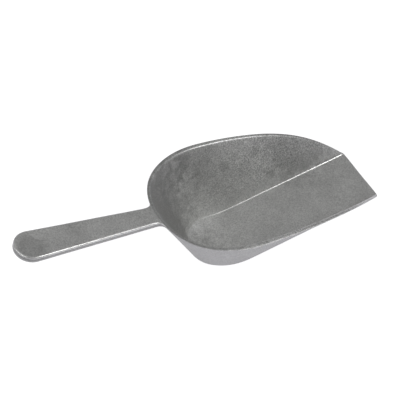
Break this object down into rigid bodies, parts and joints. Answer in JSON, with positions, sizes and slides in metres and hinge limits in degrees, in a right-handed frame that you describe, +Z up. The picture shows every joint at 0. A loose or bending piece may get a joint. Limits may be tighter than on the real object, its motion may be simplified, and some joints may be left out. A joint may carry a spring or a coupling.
{
  "type": "ice scoop",
  "caption": "Cast aluminium scoop with a flat-bottomed, square-lipped bowl, flared ruled walls and a flat tapered handle that rises from the back rim.",
  "frame": {"origin": "on the flat underside in the middle plane of the scoop, 70 mm behind the lip edge", "axes": "+X out over the lip along the scoop, +Y across it, +Z up"},
  "size_m": [0.2842, 0.1032, 0.1123],
  "materials": {
    "cast_bowl": "dull tumbled casting, mottled grey, bright worn rim",
    "cast_handle": "dull tumbled casting, bright worn edges"
  },
  "bodies": {
    "root": {"bowl": "cast_bowl", "handle": "cast_handle"}
  },
  "joints": []
}
